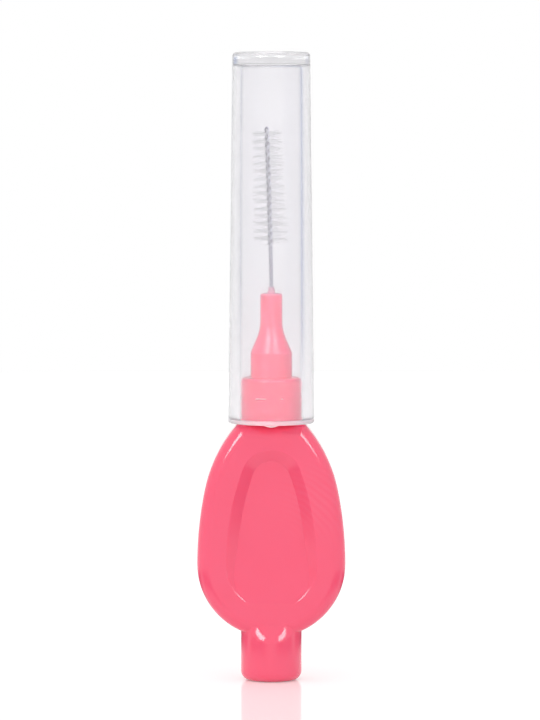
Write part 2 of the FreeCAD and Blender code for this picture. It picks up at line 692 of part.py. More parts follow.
# Cap
def make_cap():
    """Clear cap: a drafted tube with a thick closed end, a wider mouth and a small nub under its rim."""
    body = revolved_body("cap", [
        ("Levels.cap_mouth_radius", "Levels.cap_rim"),
        ("Levels.cap_rim_outer", "Levels.cap_rim", "Sizes.cap_rim_radius"),
        ("Sizes.cap_end_diameter / 2", "Levels.cap_top", "Sizes.cap_end_radius"),
        ("Sizes.gate_diameter / 2", "Levels.cap_top"),
        ("Sizes.gate_diameter / 2 - Sizes.gate_depth", "Levels.cap_top - Sizes.gate_depth"),
        ("0", "Levels.cap_top - Sizes.gate_depth"),
        ("0", "Levels.cap_ceiling"),
        ("Levels.cap_bore_end", "Levels.cap_ceiling", "Sizes.cap_ceiling_radius"),
        ("Levels.cap_bore_radius", "Levels.cap_step"),
        ("Levels.cap_mouth_radius", "Levels.cap_step"),
    ])
    sketch = new_sketch(body, "nub_outline", "XZ_Plane", "Levels.cap_mouth_radius + Sizes.nub_inset")
    half, drop, rim = value("Sizes.nub_width / 2"), value("Sizes.nub_drop"), value("Levels.cap_rim")
    radius = (half ** 2 + drop ** 2) / (2 * drop)
    left, right = Vector(-half, rim, 0), Vector(half, rim, 0)
    centre, rise = Vector(0, rim - drop + radius, 0), Vector(0, drop, 0)
    bulge = sketch.addGeometry(arc(centre, radius, heading(left - centre), heading(right - centre)))
    sides = [
        sketch.addGeometry(Part.LineSegment(*ends))
        for ends in ((right, right + rise), (right + rise, left + rise), (left + rise, left))
    ]
    ring = [bulge, *sides]
    for first, second in zip(ring, sides + [bulge]):
        sketch.addConstraint(Sketcher.Constraint("Coincident", first, END, second, START))
    place(sketch, bulge, START, "-Sizes.nub_width / 2", "Levels.cap_rim")
    place(sketch, bulge, END, "Sizes.nub_width / 2", "Levels.cap_rim")
    nub_radius = "((Sizes.nub_width / 2) ^ 2 + Sizes.nub_drop ^ 2) / (2 * Sizes.nub_drop)"
    bind(sketch, Sketcher.Constraint("Radius", bulge, radius), nub_radius)
    place(sketch, sides[1], START, "Sizes.nub_width / 2", "Levels.cap_rim + Sizes.nub_drop")
    place(sketch, sides[1], END, "-Sizes.nub_width / 2", "Levels.cap_rim + Sizes.nub_drop")
    nub = body.newObject("PartDesign::Pad", "nub")
    nub.Profile = sketch
    nub.setExpression("Length", "Sizes.cap_rim_wall - Sizes.cap_rim_radius - 2 * Sizes.nub_inset")
    doc.recompute()
    assert nub.Shape.Volume > nub.BaseFeature.Shape.Volume, "the nub adds nothing"
    return body


def write_parts(nodes):
    """Checks every object of the document, then writes one file per node."""
    for thing in doc.Objects:
        assert not {"Invalid", "Error"} & set(thing.State), f"{thing.Name}: {thing.State}"
    for node in nodes:
        assert not node.Shape.isNull() and node.Shape.isValid(), f"{node.Label} has no valid shape"
    os.makedirs("parts", exist_ok=True)
    for node in nodes:
        node.Shape.exportStep(f"parts/{node.Label}.step")
        print(node.Label, len(node.Shape.Solids), "solids", round(node.Shape.Volume, 2), "mm3")


twisted = Twist()
part_nodes = [make_handle(), make_cap(), make_wire(twisted), *make_bristles(twisted)]
doc.recompute()
write_parts(part_nodes)
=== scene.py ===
# %% [markdown]
# # A capped interdental brush
#
# The real object is a throw-away hand tool: a pink moulded handle with a thumb dish, a twisted steel wire
# that grips fine nylon filaments, and a clear cap that pushes on over the brush. The solids come from CAD
# and are loaded as a fixed frame. They have the right size and place, so this lesson never moves them. It
# gives them their finish, and it rebuilds the pieces whose charm lies in fine form: cap, wire and bristles.
# Lengths are in metres, so most sizes are written as millimetres times MM.

import math

import bpy
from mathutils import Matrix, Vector


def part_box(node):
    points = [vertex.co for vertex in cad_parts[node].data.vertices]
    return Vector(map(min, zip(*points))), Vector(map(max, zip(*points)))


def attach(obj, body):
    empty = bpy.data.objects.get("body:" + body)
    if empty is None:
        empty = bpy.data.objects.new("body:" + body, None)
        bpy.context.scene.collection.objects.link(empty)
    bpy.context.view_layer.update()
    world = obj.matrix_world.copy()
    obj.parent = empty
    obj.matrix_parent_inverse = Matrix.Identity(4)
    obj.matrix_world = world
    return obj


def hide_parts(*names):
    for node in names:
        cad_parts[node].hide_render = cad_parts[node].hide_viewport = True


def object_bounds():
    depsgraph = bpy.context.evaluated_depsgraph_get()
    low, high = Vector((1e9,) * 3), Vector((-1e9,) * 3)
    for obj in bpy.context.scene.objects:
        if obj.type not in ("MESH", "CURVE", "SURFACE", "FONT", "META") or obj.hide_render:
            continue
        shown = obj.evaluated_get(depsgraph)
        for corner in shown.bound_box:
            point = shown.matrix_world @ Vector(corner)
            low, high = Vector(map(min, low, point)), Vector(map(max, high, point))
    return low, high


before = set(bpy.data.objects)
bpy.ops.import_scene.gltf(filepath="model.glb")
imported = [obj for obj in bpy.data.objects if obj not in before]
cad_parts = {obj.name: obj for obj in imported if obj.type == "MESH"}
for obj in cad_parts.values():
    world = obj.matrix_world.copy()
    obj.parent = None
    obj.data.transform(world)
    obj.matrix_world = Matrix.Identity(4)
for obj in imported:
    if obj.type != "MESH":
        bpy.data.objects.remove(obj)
cad_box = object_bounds()
MM = 0.001

# %% [markdown]
# ## Small helpers
#
# Colours are written as the hex codes that a picture editor shows. Blender's sockets want linear light, so
# one function converts them. Another adds a node with its options, values and links in one call, which
# keeps every material short enough to read. Most sockets go by name. A Mix node uses the same names for
# every kind of data, so its sockets go by number: 0 is the share, 6 and 7 are the two colours, and output
# 2 is the mixed colour. The last two helpers start a material and put a new object into the scene.

# %% Helpers for colours and nodes
def linear(code):
    """An sRGB hex colour such as #FF8800 as linear red, green, blue and alpha."""
    channels = [int(code[i:i + 2], 16) / 255 for i in (1, 3, 5)]
    return [c / 12.92 if c <= 0.04045 else ((c + 0.055) / 1.055) ** 2.4 for c in channels] + [1]


def add(tree, kind, inputs=None, **options):
    """Adds a node. Each input, by name or number, is a plain value or another node's output to link."""
    made = tree.nodes.new(kind)
    for name, option in options.items():
        setattr(made, name, option)
    for name, given in (inputs or {}).items():
        if isinstance(given, bpy.types.NodeSocket):
            tree.links.new(given, made.inputs[name])
        else:
            made.inputs[name].default_value = given
    return made


def start_material(name):
    """A new material and its empty node tree."""
    material = bpy.data.materials.new(name)
    material.use_nodes = True
    material.node_tree.nodes.clear()
    return material, material.node_tree


def new_object(name, data):
    """A scene object at the origin for a mesh, a curve, a lamp or the camera."""
    made = bpy.data.objects.new(name, data)
    bpy.context.scene.collection.objects.link(made)
    return made


WHITE = linear("#FFFFFF")
print("middle grey #808080 is", round(linear("#808080")[0], 3), "in linear light")

# %% [markdown]
# ## Camera
#
# The picture was taken with a long lens, a little above the brush and square to the thumb dish: the pad's
# outline is not pulled about by perspective, and the rim of the cap is a very flat ellipse. So the camera
# stands far off, and its lens is worked out from the height of the view at the brush.

# %% Camera
VIEW_HEIGHT = 93.6 * MM
VIEW_CENTRE = Vector((-0.17 * MM, 0, 41.8 * MM))
CAMERA_DISTANCE = 0.9
CAMERA_RISE = math.radians(4.5)

camera_data = bpy.data.cameras.new("camera")
camera_data.sensor_fit = "VERTICAL"
camera_data.lens = camera_data.sensor_height * CAMERA_DISTANCE / VIEW_HEIGHT
camera = new_object("camera", camera_data)
toward_camera = Vector((0, -math.cos(CAMERA_RISE), math.sin(CAMERA_RISE)))
camera.location = VIEW_CENTRE + toward_camera * CAMERA_DISTANCE
camera.rotation_euler = toward_camera.to_track_quat("Z", "Y").to_euler()
bpy.context.scene.camera = camera
bpy.context.scene.view_settings.view_transform = "Standard"
print("lens", round(camera_data.lens), "mm")

# %% [markdown]
# ## A white studio
#
# A clear cap on a white ground shows only what it bends into view, so the surroundings matter more than
# the lamps, and an even white world would leave the cap without edges. This one is white in front, behind
# and straight out to both sides, and greyer in between, but only for light that has come through the cap.
# Rays that graze its bore are bent by some sixty degrees and pick up that grey, which draws the bore's
# edges.

# %% World: the colour of each direction
BENT_START, BENT_END = math.radians(44), math.radians(58)
SIDE_START, SIDE_END = math.radians(12), math.radians(24)
LEFT_GREY, RIGHT_GREY = linear("#D6D8E2"), linear("#B4BFDD")

world = bpy.data.worlds.new("white studio")
bpy.context.scene.world = world
world.use_nodes = True
# Not sampled as a lamp, so every ray asks the world as the kind of ray that it is
world.cycles.sampling_method = "NONE"
tree = world.node_tree
tree.nodes.clear()
rays = add(tree, "ShaderNodeLightPath").outputs
way = add(tree, "ShaderNodeTexCoord").outputs["Generated"]
split = add(tree, "ShaderNodeSeparateXYZ", {0: way}).outputs
aside = rays["Is Transmission Ray"]
for axis, start, end in (("Y", BENT_START, BENT_END), ("X", SIDE_START, SIDE_END)):
    along = add(tree, "ShaderNodeMath", {0: split[axis]}, operation="ABSOLUTE").outputs[0]
    off_axis = add(tree, "ShaderNodeMapRange", {
        "Value": along, "From Min": math.cos(start), "From Max": math.cos(end),
    }, interpolation_type="SMOOTHSTEP").outputs[0]
    aside = add(tree, "ShaderNodeMath", {0: aside, 1: off_axis}, operation="MULTIPLY").outputs[0]
to_right = add(tree, "ShaderNodeMath", {0: split["X"], 1: 0}, operation="GREATER_THAN").outputs[0]
sides = add(tree, "ShaderNodeMix", {0: to_right, 6: LEFT_GREY, 7: RIGHT_GREY}, data_type="RGBA").outputs[2]
colour = add(tree, "ShaderNodeMix", {0: aside, 6: WHITE, 7: sides}, data_type="RGBA").outputs[2]
print("world: grey from", round(math.degrees(BENT_END)), "degrees off the line of sight")

# %% [markdown]
# ## Daylight from the front left
#
# Camera, mirror and refracted rays see the world at strength 1, which is plain white. Diffuse rays get
# another strength, so that the light on the object can be set without touching the background. It is
# strongest from the front left and weakest behind, as from a large window.

# %% World: the strength of its light
AMBIENT_BEHIND, AMBIENT_BEFORE = 0.64, 1.2
BRIGHTEST_WAY = (-0.5, -0.8, 0.33)

mirrored = add(tree, "ShaderNodeMath", {
    0: rays["Is Glossy Ray"], 1: rays["Is Transmission Ray"]}, operation="MAXIMUM").outputs[0]
seen = add(tree, "ShaderNodeMath", {0: mirrored, 1: rays["Is Camera Ray"]}, operation="MAXIMUM").outputs[0]
facing = add(tree, "ShaderNodeVectorMath", {0: way, 1: BRIGHTEST_WAY}, operation="DOT_PRODUCT")
ambient = add(tree, "ShaderNodeMapRange", {
    "Value": facing.outputs["Value"], "From Min": -1, "To Min": AMBIENT_BEHIND, "To Max": AMBIENT_BEFORE})
strength = add(tree, "ShaderNodeMapRange", {"Value": seen, "To Min": ambient.outputs[0], "To Max": 1})
sky = add(tree, "ShaderNodeBackground", {"Color": colour, "Strength": strength.outputs[0]})
add(tree, "ShaderNodeOutputWorld", {"Surface": sky.outputs[0]})
print("world: diffuse light from", AMBIENT_BEHIND, "behind to", AMBIENT_BEFORE, "before")

# %% [markdown]
# ## Two softboxes
#
# The white streaks on the pad's shoulders and the marks on the ramp above the stub are mirror images of
# softboxes to both sides of the camera. Area lamps of that shape give the same images. They are kept out
# of the diffuse light, which the world already gives, so the pink renders as it is written.

# %% Lamps
LAMP_DISTANCE = 0.6
LAMP_RISE = math.radians(36)
LAMPS = {
    "left softbox": {"swing": -30, "width": 0.26, "height": 0.5, "power": 4.8},
    "right softbox": {"swing": 30, "width": 0.24, "height": 0.5, "power": 3.8},
}
PAD_MIDDLE = Vector((0, 0, 20 * MM))

for name, box in LAMPS.items():
    lamp_data = bpy.data.lights.new(name, "AREA")
    lamp_data.shape = "RECTANGLE"
    lamp_data.size, lamp_data.size_y = box["width"], box["height"]
    lamp_data.energy = box["power"]
    lamp = new_object(name, lamp_data)
    swing = math.radians(box["swing"])
    level = Vector((math.sin(swing), -math.cos(swing), 0))
    toward_lamp = level * math.cos(LAMP_RISE) + Vector((0, 0, math.sin(LAMP_RISE)))
    lamp.location = PAD_MIDDLE + toward_lamp * LAMP_DISTANCE
    lamp.rotation_euler = toward_lamp.to_track_quat("Z", "Y").to_euler()
    lamp.visible_camera = lamp.visible_diffuse = False
    print(name, [round(c, 3) for c in lamp.location])

# %% [markdown]
# ## A polished floor
#
# The brush stands on white acrylic: a white body with a faint mirror image on top. The body is lifted to
# white a little by a glow that only camera, mirror and refracted rays see, so the object's soft shadow
# stays. The camera looks slightly down, so the walls of the thumb dish mirror the floor to the left and
# right of the brush. There the floor is darker for mirror rays alone, which draws those walls, as dark
# cards on the table would.

# %% Floor: where its dark patches lie
# A ring round the brush, and of it only what lies neither straight beside the brush nor straight before it
RING_RISE, RING_FALL = (30 * MM, 45 * MM), (100 * MM, 70 * MM)
SLOPE_RISE, SLOPE_FALL = (0.05, 0.25), (4, 2)

floor_material, tree = start_material("polished white acrylic")
rays = add(tree, "ShaderNodeLightPath").outputs
place = add(tree, "ShaderNodeTexCoord").outputs["Object"]
reach = add(tree, "ShaderNodeVectorMath", {0: place}, operation="LENGTH").outputs["Value"]
ground = add(tree, "ShaderNodeSeparateXYZ", {0: place}).outputs
across, before = [
    add(tree, "ShaderNodeMath", {0: ground[axis]}, operation="ABSOLUTE").outputs[0] for axis in ("X", "Y")]
slope = add(tree, "ShaderNodeMath", {0: before, 1: across}, operation="DIVIDE").outputs[0]
mirror_only = add(tree, "ShaderNodeMath", {
    0: rays["Is Glossy Ray"], 1: rays["Is Transmission Ray"]}, operation="SUBTRACT", use_clamp=True)
shade = mirror_only.outputs[0]
for measure, limits in ((reach, RING_RISE), (reach, RING_FALL), (slope, SLOPE_RISE), (slope, SLOPE_FALL)):
    mask = add(tree, "ShaderNodeMapRange", {
        "Value": measure, "From Min": limits[0], "From Max": limits[1]})
    shade = add(tree, "ShaderNodeMath", {0: shade, 1: mask.outputs[0]}, operation="MULTIPLY").outputs[0]
print("floor: dark patches from", RING_RISE[0], "to", RING_FALL[0], "m out")

# %% Floor: body, glow and polish
FLOOR_MIRROR_SHARE, FLOOR_ROUGHNESS = 0.36, 0.03
FLOOR_LIFT = 0.24
FLOOR_WHITE, PATCH_GREY = linear("#F4F4F4"), linear("#505056")

mirrored = add(tree, "ShaderNodeMath", {
    0: rays["Is Glossy Ray"], 1: rays["Is Transmission Ray"]}, operation="MAXIMUM").outputs[0]
seen = add(tree, "ShaderNodeMath", {0: mirrored, 1: rays["Is Camera Ray"]}, operation="MAXIMUM").outputs[0]
lit = add(tree, "ShaderNodeMath", {0: seen, 1: shade}, operation="SUBTRACT", use_clamp=True).outputs[0]
lift = add(tree, "ShaderNodeMath", {0: lit, 1: FLOOR_LIFT}, operation="MULTIPLY").outputs[0]
tone = add(tree, "ShaderNodeMix", {0: shade, 6: FLOOR_WHITE, 7: PATCH_GREY}, data_type="RGBA").outputs[2]
white = add(tree, "ShaderNodeBsdfDiffuse", {"Color": tone}).outputs[0]
glow = add(tree, "ShaderNodeEmission", {"Color": WHITE, "Strength": lift}).outputs[0]
body = add(tree, "ShaderNodeAddShader", {0: white, 1: glow}).outputs[0]
polish = add(tree, "ShaderNodeBsdfGlossy", {"Color": WHITE, "Roughness": FLOOR_ROUGHNESS}).outputs[0]
share = add(tree, "ShaderNodeMath", {
    0: rays["Is Camera Ray"], 1: FLOOR_MIRROR_SHARE}, operation="MULTIPLY").outputs[0]
surface = add(tree, "ShaderNodeMixShader", {0: share, 1: body, 2: polish}).outputs[0]
add(tree, "ShaderNodeOutputMaterial", {"Surface": surface})
print("floor finish:", len(tree.nodes), "nodes")

# %% Floor: a round sheet under the brush
FLOOR_RADIUS = 0.5
FLOOR_SIDES = 96

around = [2 * math.pi * i / FLOOR_SIDES for i in range(FLOOR_SIDES)]
floor_mesh = bpy.data.meshes.new("floor")
floor_mesh.from_pydata(
    [(FLOOR_RADIUS * math.cos(a), FLOOR_RADIUS * math.sin(a), cad_box[0][2]) for a in around], [],
    [range(FLOOR_SIDES)])
floor = new_object("floor", floor_mesh)
floor_mesh.materials.append(floor_material)
print("floor at height", cad_box[0][2])

# %% [markdown]
# ## Pink moulded polypropylene
#
# The handle is one injection moulding with a glossy, slightly waxy skin. Its CAD solid already has the
# right form, so it stays and only gets a finish. Close up such a skin is never perfect. The mould's polish
# leaves a slow unevenness that makes highlights waver, which is bump. On the right of the pad the melt has
# left faint flow lines round the place where it came in, which are bump and a little colour. At the tip of
# the nozzle the plastic is a thin skin over the wire, and the grey steel shows through. Light also travels
# a little way into the pink, which softens the shading, so some of it is subsurface.

# %% Handle finish: sizes and colours
WAVER_SIZE, WAVER_DEPTH, WAVER_STRENGTH = 5 * MM, 0.05 * MM, 0.5
FLOW_SPACING, FLOW_DEPTH = 0.75 * MM, 0.004 * MM
FLOW_SCALE = math.pi / (10 * FLOW_SPACING)  # at scale 1 the bands of a wave are pi / 10 apart
FLOW_BEND, FLOW_BEND_SCALE = 4, 0.6
FLOW_ORIGIN = (-1 * MM, 0, 15 * MM)
FLOW_CENTRE, FLOW_REACH = (6 * MM, -3 * MM, 24 * MM), 7 * MM
FLOW_TINT = 0.07
PIP_HEIGHT = 0.8 * MM
nozzle_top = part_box("handle")[1].z - PIP_HEIGHT
SKIN_START, SKIN_END, SKIN_SHARE = nozzle_top - 0.6 * MM, nozzle_top + 0.5 * MM, 0.75
PINK_DEEP, PINK_PALE = linear("#FC5C7B"), linear("#FE6080")
FLOW_PALE, STEEL_UNDER_PINK = linear("#FFA0B4"), linear("#C0A8B8")
print("nozzle ends at height", round(nozzle_top, 5))


# %% Handle finish
def pink_polypropylene():
    """Moulded polypropylene: even colour, crisp but wavering highlights, soft shading."""
    material, tree = start_material("moulded pink polypropylene")
    place = add(tree, "ShaderNodeTexCoord").outputs["Object"]
    waver = add(tree, "ShaderNodeTexNoise", {
        "Vector": place, "Scale": 1 / WAVER_SIZE, "Detail": 2}).outputs["Fac"]
    from_gate = add(tree, "ShaderNodeMapping", {"Vector": place, "Location": [-c for c in FLOW_ORIGIN]})
    flow = add(tree, "ShaderNodeTexWave", {
        "Vector": from_gate.outputs[0], "Scale": FLOW_SCALE, "Distortion": FLOW_BEND, "Detail": 1,
        "Detail Scale": FLOW_BEND_SCALE}, wave_type="RINGS", rings_direction="Y").outputs["Fac"]
    away = add(tree, "ShaderNodeVectorMath", {0: place, 1: FLOW_CENTRE}, operation="DISTANCE")
    fade = add(tree, "ShaderNodeMapRange", {
        "Value": away.outputs["Value"], "From Min": FLOW_REACH, "From Max": 0,
    }, interpolation_type="SMOOTHSTEP").outputs[0]

    # Bump: the slow waver first, the flow lines on top of it
    soft = add(tree, "ShaderNodeBump", {
        "Height": waver, "Distance": WAVER_DEPTH, "Strength": WAVER_STRENGTH}).outputs[0]
    skin = add(tree, "ShaderNodeBump", {
        "Height": flow, "Distance": FLOW_DEPTH, "Strength": fade, "Normal": soft}).outputs[0]

    # Colour: pink, paler along the flow lines, greyer where the skin over the wire is thin
    pink = add(tree, "ShaderNodeMix", {0: waver, 6: PINK_DEEP, 7: PINK_PALE}, data_type="RGBA").outputs[2]
    marks = add(tree, "ShaderNodeMath", {0: flow, 1: fade}, operation="MULTIPLY").outputs[0]
    mark_share = add(tree, "ShaderNodeMath", {0: marks, 1: FLOW_TINT}, operation="MULTIPLY").outputs[0]
    streaked = add(tree, "ShaderNodeMix", {
        0: mark_share, 6: pink, 7: FLOW_PALE}, data_type="RGBA").outputs[2]
    height = add(tree, "ShaderNodeSeparateXYZ", {0: place}).outputs["Z"]
    thin = add(tree, "ShaderNodeMapRange", {
        "Value": height, "From Min": SKIN_START, "From Max": SKIN_END, "To Max": SKIN_SHARE,
    }, interpolation_type="SMOOTHSTEP").outputs[0]
    skinned = add(tree, "ShaderNodeMix", {
        0: thin, 6: streaked, 7: STEEL_UNDER_PINK}, data_type="RGBA").outputs[2]
    surface = add(tree, "ShaderNodeBsdfPrincipled", {
        "Base Color": skinned, "Roughness": 0.1, "IOR": 1.49, "Normal": skin,
        "Subsurface Weight": 0.25, "Subsurface Scale": 0.8 * MM, "Subsurface Radius": (1, 0.4, 0.45),
    })
    add(tree, "ShaderNodeOutputMaterial", {"Surface": surface.outputs[0]})
    return material


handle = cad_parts["handle"]
handle.data.materials.clear()
handle.data.materials.append(pink_polypropylene())
print("handle:", len(handle.data.polygons), "faces")

# %% [markdown]
# ## The clear cap
#
# The cap is a turned shape: a drafted tube with a thick closed end, a gate recess on top and a wider
# mouth. A cylinder with a Solidify modifier would give the tube but not its step and lands. Refraction
# shows every facet, so the cap is lathed here from its outline with many more steps round the axis than
# the solid has. Roundings are arcs, and the outline runs from the recess down the outside and up the bore.

# %% Cap sizes
cap_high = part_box("cap")[1]
RIM_HEIGHT, END_HEIGHT = 33.6545 * MM, cap_high.z
RIM_RADIUS, RIM_ROUNDING = cap_high.x, 0.3 * MM
END_RADIUS, END_ROUNDING, END_WALL = 5.05 * MM, 0.5 * MM, 1.55 * MM
GATE_RADIUS, GATE_DEPTH = 1.95 * MM, 0.3 * MM
MOUTH_RADIUS, MOUTH_DEPTH = 4.1 * MM, 3.4 * MM
BORE_RADIUS, BORE_END_RADIUS, CEILING_ROUNDING = 3.99 * MM, 3.87 * MM, 0.4 * MM
NUB_WIDTH, NUB_DROP, NUB_EDGE = 1.9 * MM, 0.25 * MM, 0.06 * MM
NUB_INNER, NUB_OUTER = 4.35 * MM, 5.05 * MM
STEP_BAND, RIM_LAND = 0.08 * MM, 0.55 * MM
LAND_RADIUS = RIM_RADIUS + (END_RADIUS - RIM_RADIUS) * RIM_LAND / (END_HEIGHT - RIM_HEIGHT)
print("cap:", round((END_HEIGHT - RIM_HEIGHT) / MM, 2), "mm long")

# %% Helpers for a turned shape
ARC_STEPS = 8
SHARP_ANGLE = math.radians(30)


def rounded_outline(corners):
    """Points of an outline whose corners are (radius, height) or (radius, height, rounding)."""
    points = []
    for before, corner, after in zip(corners, corners[1:], corners[2:]):
        here = Vector(corner[:2])
        rounding = corner[2] if len(corner) > 2 else 0
        if not rounding:
            points.append(here)
            continue
        back, on = (Vector(before[:2]) - here).normalized(), (Vector(after[:2]) - here).normalized()
        half = back.angle(on) / 2
        centre = here + (back + on).normalized() * (rounding / math.sin(half))
        start = here + back * (rounding / math.tan(half)) - centre
        turn = start.angle_signed(here + on * (rounding / math.tan(half)) - centre)
        for step in range(ARC_STEPS + 1):
            angle = -turn * step / ARC_STEPS
            points.append(centre + Vector((
                start.x * math.cos(angle) - start.y * math.sin(angle),
                start.x * math.sin(angle) + start.y * math.cos(angle))))
    return points


def lathe(name, outline, steps):
    """A closed mesh turned from an outline that starts and ends on the axis."""
    rings = outline[1:-1]
    count = len(rings)
    vertices = [(0, 0, outline[0].y)]
    for step in range(steps):
        angle = 2 * math.pi * step / steps
        vertices += [(p.x * math.cos(angle), p.x * math.sin(angle), p.y) for p in rings]
    vertices.append((0, 0, outline[-1].y))
    last = len(vertices) - 1
    faces = []
    for step in range(steps):
        here, there = 1 + step * count, 1 + (step + 1) % steps * count
        faces.append((0, here, there))
        faces += [(here + i, here + i + 1, there + i + 1, there + i) for i in range(count - 1)]
        faces.append((here + count - 1, last, there + count - 1))
    mesh = bpy.data.meshes.new(name)
    mesh.from_pydata(vertices, [], faces)
    mesh.shade_smooth()
    mesh.set_sharp_from_angle(angle=SHARP_ANGLE)
    return mesh


print("arcs have", ARC_STEPS, "steps")

# %% Cap piece
CAP_STEPS = 160

# The first and last corners are there twice, because each corner needs a neighbour on both sides
ceiling = END_HEIGHT - END_WALL
step_height = RIM_HEIGHT + MOUTH_DEPTH
cap_corners = [
    (0, END_HEIGHT - GATE_DEPTH),
    (0, END_HEIGHT - GATE_DEPTH),
    (GATE_RADIUS - GATE_DEPTH, END_HEIGHT - GATE_DEPTH),
    (GATE_RADIUS, END_HEIGHT),
    (END_RADIUS, END_HEIGHT, END_ROUNDING),
    (LAND_RADIUS, RIM_HEIGHT + RIM_LAND),
    (RIM_RADIUS, RIM_HEIGHT, RIM_ROUNDING),
    (NUB_OUTER + NUB_EDGE, RIM_HEIGHT),
    (NUB_OUTER, RIM_HEIGHT),
    (NUB_INNER, RIM_HEIGHT),
    (NUB_INNER - NUB_EDGE, RIM_HEIGHT),
    (MOUTH_RADIUS, RIM_HEIGHT),
    (MOUTH_RADIUS, RIM_HEIGHT + RIM_LAND),
    (MOUTH_RADIUS, step_height - STEP_BAND),
    (MOUTH_RADIUS, step_height),
    (BORE_RADIUS, step_height),
    (BORE_RADIUS, step_height + STEP_BAND),
    (BORE_END_RADIUS, ceiling, CEILING_ROUNDING),
    (0, ceiling),
    (0, ceiling),
]
cap = new_object("clear_cap", lathe("clear_cap", rounded_outline(cap_corners), CAP_STEPS))

# A small moulded nub hangs from the front of the rim
for vertex in cap.data.vertices:
    x, y, z = vertex.co
    across = 2 * x / NUB_WIDTH
    if abs(z - RIM_HEIGHT) < NUB_EDGE / 2 and y < 0 and abs(across) < 1:
        if NUB_INNER - NUB_EDGE / 2 < math.hypot(x, y) < NUB_OUTER + NUB_EDGE / 2:
            vertex.co.z -= NUB_DROP * (1 - across ** 2)
print("cap:", len(cap.data.polygons), "faces")

# %% [markdown]
# ## Clear, ground and rubbed polypropylene
#
# Clarified polypropylene lets light through but is never as clear as glass: it veils what is inside. A
# little roughness and a share of plain white surface give that veil, and absorption inside the wall
# darkens the long paths along its edges. Where the gloss is gone the same plastic looks white: on the
# rim's land and the closed end, which the mould's parting faces leave finely ground, and fainter at two
# spots of the step inside the mouth, where the collar rubs. Each face of the mesh takes one of these.

# %% Cap finishes
WALL_GREY, WALL_DENSITY = linear("#BCBCBF"), 0.043 / MM


def clear_polypropylene():
    """Clarified polypropylene: see-through with a faint cool haze, so that what is inside looks veiled."""
    material, tree = start_material("moulded clear polypropylene")
    surface = add(tree, "ShaderNodeBsdfPrincipled", {
        "Base Color": linear("#FBFAFC"), "Roughness": 0.1, "IOR": 1.49, "Transmission Weight": 0.905,
    })
    depth = add(tree, "ShaderNodeVolumeAbsorption", {"Color": WALL_GREY, "Density": WALL_DENSITY})
    add(tree, "ShaderNodeOutputMaterial", {"Surface": surface.outputs[0], "Volume": depth.outputs[0]})
    return material


def dulled_polypropylene(name, colour, roughness, clear_share):
    """Clear polypropylene without its gloss: it scatters light and looks paler than what is behind it."""
    material, tree = start_material(name)
    surface = add(tree, "ShaderNodeBsdfPrincipled", {
        "Base Color": linear(colour), "Roughness": roughness, "IOR": 1.49,
        "Transmission Weight": clear_share,
    })
    add(tree, "ShaderNodeOutputMaterial", {"Surface": surface.outputs[0]})
    return material


cap.data.materials.append(clear_polypropylene())
cap.data.materials.append(dulled_polypropylene("ground clear polypropylene", "#FAF8FA", 0.45, 0.65))
cap.data.materials.append(dulled_polypropylene("rubbed clear polypropylene", "#FFF4F6", 0.3, 0.82))
print("cap finishes:", [m.name for m in cap.data.materials])

# %% Cap: which face takes which finish
CLEAR, GROUND, RUBBED = range(3)
RUBS = [(-27, -10), (15, 20)]  # degrees round from the front

for face in cap.data.polygons:
    x, y, z = face.center
    turn = math.degrees(math.atan2(x, -y))
    on_rub = any(start < turn < end for start, end in RUBS)
    on_step = abs(z - step_height) < STEP_BAND and math.hypot(x, y) < NUB_INNER
    if z < RIM_HEIGHT + RIM_LAND or z > END_HEIGHT - END_ROUNDING / 2:
        face.material_index = GROUND
    elif on_step and on_rub:
        face.material_index = RUBBED
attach(cap, "cap")
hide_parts("cap")
used = [face.material_index for face in cap.data.polygons]
print("cap faces clear, ground, rubbed:", [used.count(finish) for finish in (CLEAR, GROUND, RUBBED)])

# %% [markdown]
# ## The twisted wire
#
# One steel wire is folded in half and twisted like a two-ply rope. A Screw modifier could wind it, but not
# with a lay that changes. Two helices half a turn apart, joined by a loop at the tip, are easy to write as
# a formula. The bare stem is twisted tightly, the bristled part less so, because the filaments lie between
# its strands, and the whole twist leans over a little. The points go into one curve with a round section.

# %% Wire sizes
ANCHOR_DEPTH = 3.2 * MM
STEM_BARE, LAY_BLEND = 6.4 * MM, 1.6 * MM
BRISTLE_LENGTH, TIP_LENGTH = 14.6 * MM, 0.35 * MM
HEAD_TURNS = 7.5
STEM_STRAND, HEAD_STRAND, TIP_STRAND = 0.145 * MM, 0.2 * MM, 0.17 * MM
STEM_LAY_SHARE = 0.88
TIP_LEAN, LEAN_POWER = 0.6 * MM, 1.3

wire_foot = nozzle_top - ANCHOR_DEPTH
bristle_base = nozzle_top + STEM_BARE
bristle_top = bristle_base + BRISTLE_LENGTH
wire_tip = bristle_top + TIP_LENGTH
stem_end = bristle_base - LAY_BLEND
stem_rate = 1 / (2 * math.pi * STEM_LAY_SHARE * STEM_STRAND)
head_rate = HEAD_TURNS / BRISTLE_LENGTH
twist_knots = [wire_foot, stem_end, bristle_base, bristle_top, wire_tip]
twist_rates = [stem_rate, stem_rate, head_rate, head_rate, 0]
strand_radii = [STEM_STRAND, STEM_STRAND, HEAD_STRAND, HEAD_STRAND, TIP_STRAND]
print("wire from", round(wire_foot, 4), "to", round(wire_tip, 4), "m")

# %% Wire twist
JUST_ABOVE = 1e-9


def between(values, height):
    """Value at a height on straight lines between the twist's knots."""
    for low, high, first, last in zip(twist_knots, twist_knots[1:], values, values[1:]):
        if height <= high:
            break
    return first + (last - first) * (height - low) / (high - low)


def turns_at(height):
    """Turns made between the wire's foot and a height."""
    total = 0
    for low, high in zip(twist_knots, twist_knots[1:]):
        reach = min(height, high)
        if reach > low:
            first, last = between(twist_rates, low + JUST_ABOVE), between(twist_rates, reach)
            total += (reach - low) * (first + last) / 2
    return total


